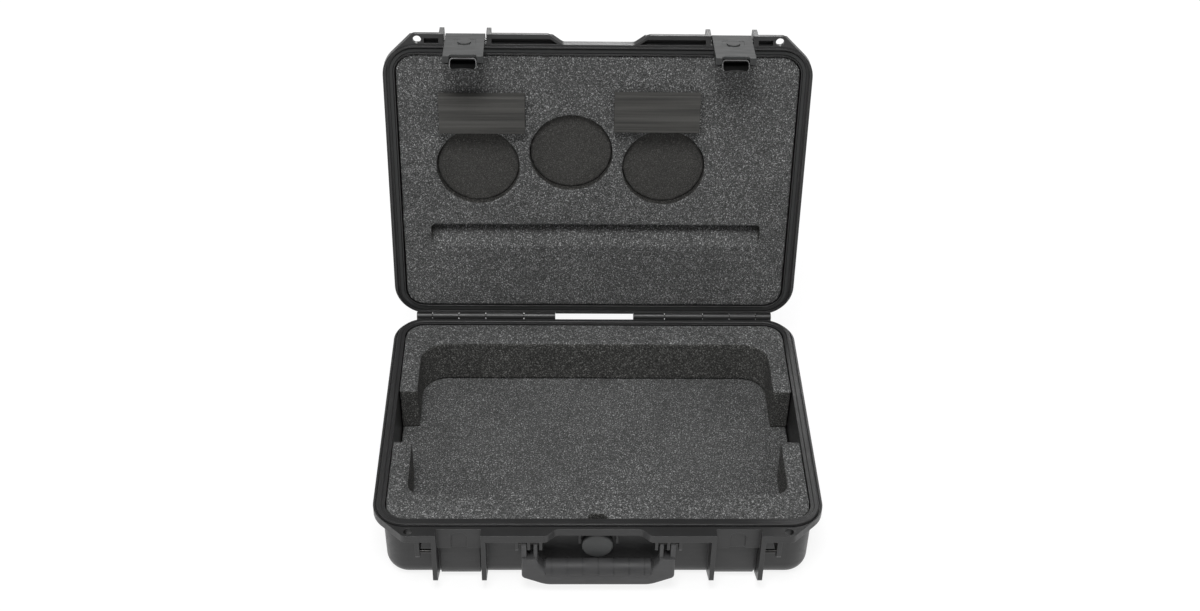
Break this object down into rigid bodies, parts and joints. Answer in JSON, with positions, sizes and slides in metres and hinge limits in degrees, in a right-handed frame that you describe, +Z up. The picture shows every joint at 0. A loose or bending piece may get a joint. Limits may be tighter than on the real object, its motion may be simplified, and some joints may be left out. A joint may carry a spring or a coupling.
{
  "type": "control panel hard case",
  "caption": "Moulded plastic carrying case with a hinged lid, sliding-trigger latches, a folding handle and foam cut to hold a control panel.",
  "frame": {"origin": "middle of the base's underside, on the surface that it stands on", "axes": "+X to the right seen from the front, +Y back towards the hinges, +Z up; the lid stands open"},
  "size_m": [0.496, 0.4602, 0.4698],
  "materials": {
    "shell_plastic": "fine mould texture",
    "latch_plastic": "satin",
    "trigger_plastic": "satin",
    "lining_foam": "open cells, speckled",
    "fine_foam": "fine cells",
    "sawn_foam": "saw lines",
    "seal_rubber": "smooth",
    "grip_rubber": "matt",
    "pin_steel": "drawn"
  },
  "bodies": {
    "base": {"base_shell": "shell_plastic", "base_foam_pad": "lining_foam", "base_foam_front": "lining_foam", "base_foam_back": "lining_foam", "valve_body": "latch_plastic", "valve_seal": "seal_rubber", "valve_membrane": "seal_rubber", "valve_nut": "trigger_plastic", "strap_bar_left": "pin_steel", "strap_bar_right": "pin_steel", "hinge_pin_left": "pin_steel", "hinge_pin_right": "pin_steel", "handle_pin_left": "pin_steel", "handle_pin_right": "pin_steel"},
    "lid": {"lid_shell": "shell_plastic", "lid_gasket": "seal_rubber", "lid_foam_liner": "lining_foam", "lid_foam_backing": "fine_foam", "lid_foam_discs": "fine_foam", "foam_block_left": "sawn_foam", "foam_block_right": "sawn_foam", "latch_pin_left": "pin_steel", "latch_pin_right": "pin_steel"},
    "latch_left": {"latch_body_left": "latch_plastic", "trigger_springs_left": "pin_steel"},
    "latch_right": {"latch_body_right": "latch_plastic", "trigger_springs_right": "pin_steel"},
    "trigger_left": {"latch_trigger_left": "trigger_plastic"},
    "trigger_right": {"latch_trigger_right": "trigger_plastic"},
    "handle": {"handle_frame": "latch_plastic", "handle_grip": "grip_rubber"}
  },
  "joints": [
    {"name": "lid_hinge", "type": "hinge", "parent": "base", "child": "lid", "pos_m": [0, 0.1851, 0.0915], "axis": [1, 0, 0], "range_deg": [0, 95.86]},
    {"name": "handle_swing", "type": "hinge", "parent": "base", "child": "handle", "pos_m": [0, -0.1879, 0.0735], "axis": [-1, 0, 0], "range_deg": [0, 90]},
    {"name": "latch_swing_left", "type": "hinge", "parent": "lid", "child": "latch_left", "pos_m": [0, 0.23411, 0.4564], "axis": [-1, 0, 0], "range_deg": [0, 105]},
    {"name": "trigger_slide_left", "type": "slide", "parent": "latch_left", "child": "trigger_left", "axis": [0, -0.9948, 0.1021], "range_m": [0, 0.0025], "stiffness_N_per_m": 800, "springref_m": -0.001, "deforming": ["trigger_springs_left"]},
    {"name": "latch_swing_right", "type": "hinge", "parent": "lid", "child": "latch_right", "pos_m": [0, 0.23411, 0.4564], "axis": [-1, 0, 0], "range_deg": [0, 105]},
    {"name": "trigger_slide_right", "type": "slide", "parent": "latch_right", "child": "trigger_right", "axis": [0, -0.9948, 0.1021], "range_m": [0, 0.0025], "stiffness_N_per_m": 800, "springref_m": -0.001, "deforming": ["trigger_springs_right"]}
  ]
}
